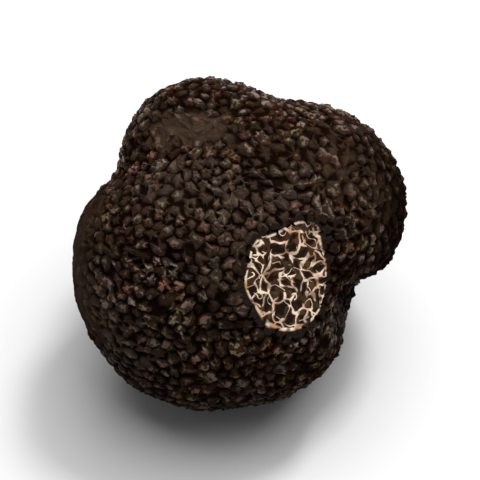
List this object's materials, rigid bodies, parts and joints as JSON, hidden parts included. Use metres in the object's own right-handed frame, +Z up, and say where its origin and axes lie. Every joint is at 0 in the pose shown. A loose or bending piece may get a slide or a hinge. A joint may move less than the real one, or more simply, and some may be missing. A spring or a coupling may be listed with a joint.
{
  "type": "black truffle",
  "caption": "Whole black truffle: a lobed, warty tuber with a thin slice shaved off its front, resting on a small flat spot.",
  "frame": {"origin": "on the ground, under the middle of the truffle's bounding box", "axes": "+Z up, +X to the right and -Y toward the side with the shaved face"},
  "size_m": [0.0507, 0.0489, 0.045],
  "materials": {
    "skin": "matt brown-black warty skin with small glints, and pale marbled flesh on the shaved face"
  },
  "bodies": {
    "root": {"truffle": "skin"}
  },
  "joints": []
}
